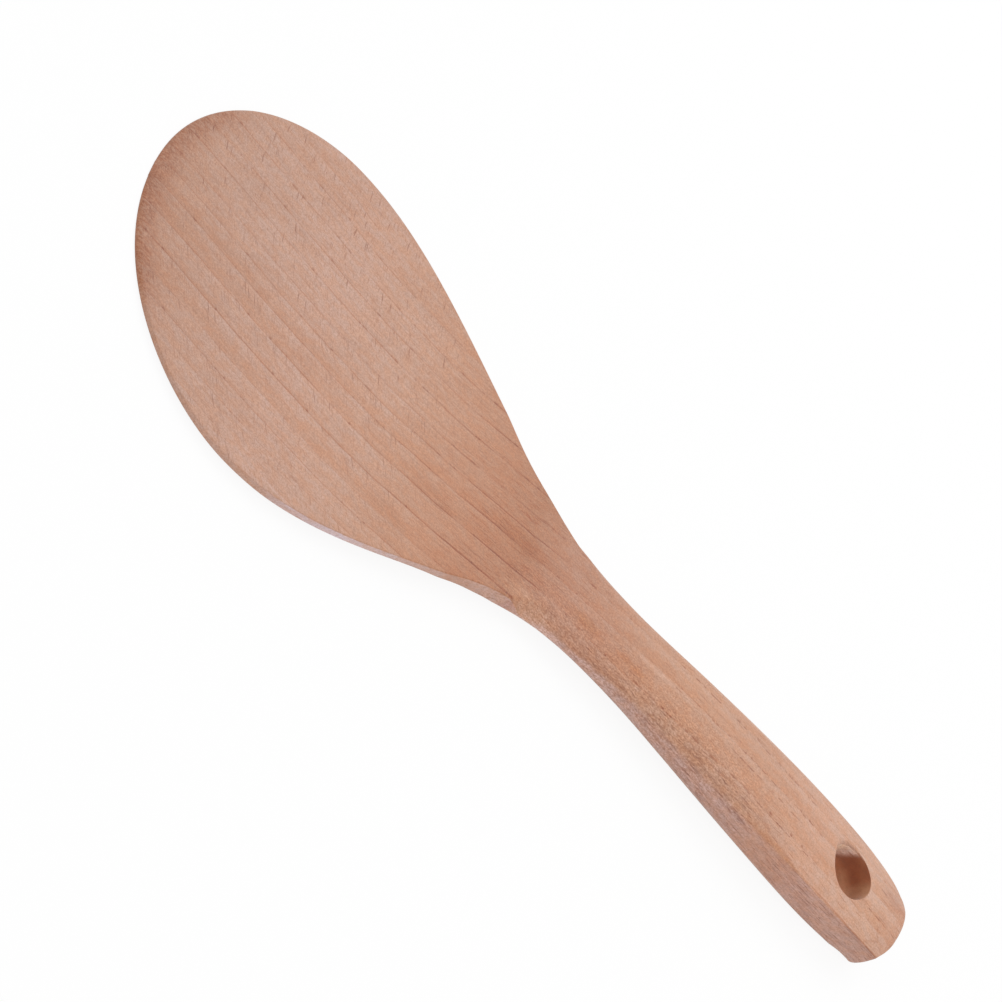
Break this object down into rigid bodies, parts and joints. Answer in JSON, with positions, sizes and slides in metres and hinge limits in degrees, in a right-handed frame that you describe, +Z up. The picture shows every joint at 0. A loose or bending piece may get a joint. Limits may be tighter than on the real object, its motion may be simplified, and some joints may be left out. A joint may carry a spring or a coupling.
{
  "type": "wooden spatula",
  "caption": "Carved wooden kitchen spatula with a broad, thin, flat blade, a narrow neck swelling into an oval grip, and a round hanging hole near the grip's end.",
  "frame": {"origin": "under the middle of the spatula's length and width, on the surface that it lies on", "axes": "+X along the length towards the end of the grip, +Y across the width, +Z up out of the blade's face"},
  "size_m": [0.3, 0.107, 0.0142],
  "materials": {
    "beech": "bare sanded beech, matt, light pinkish tan with fine growth-ring lines along the length"
  },
  "bodies": {
    "root": {"spatula": "beech"}
  },
  "joints": []
}
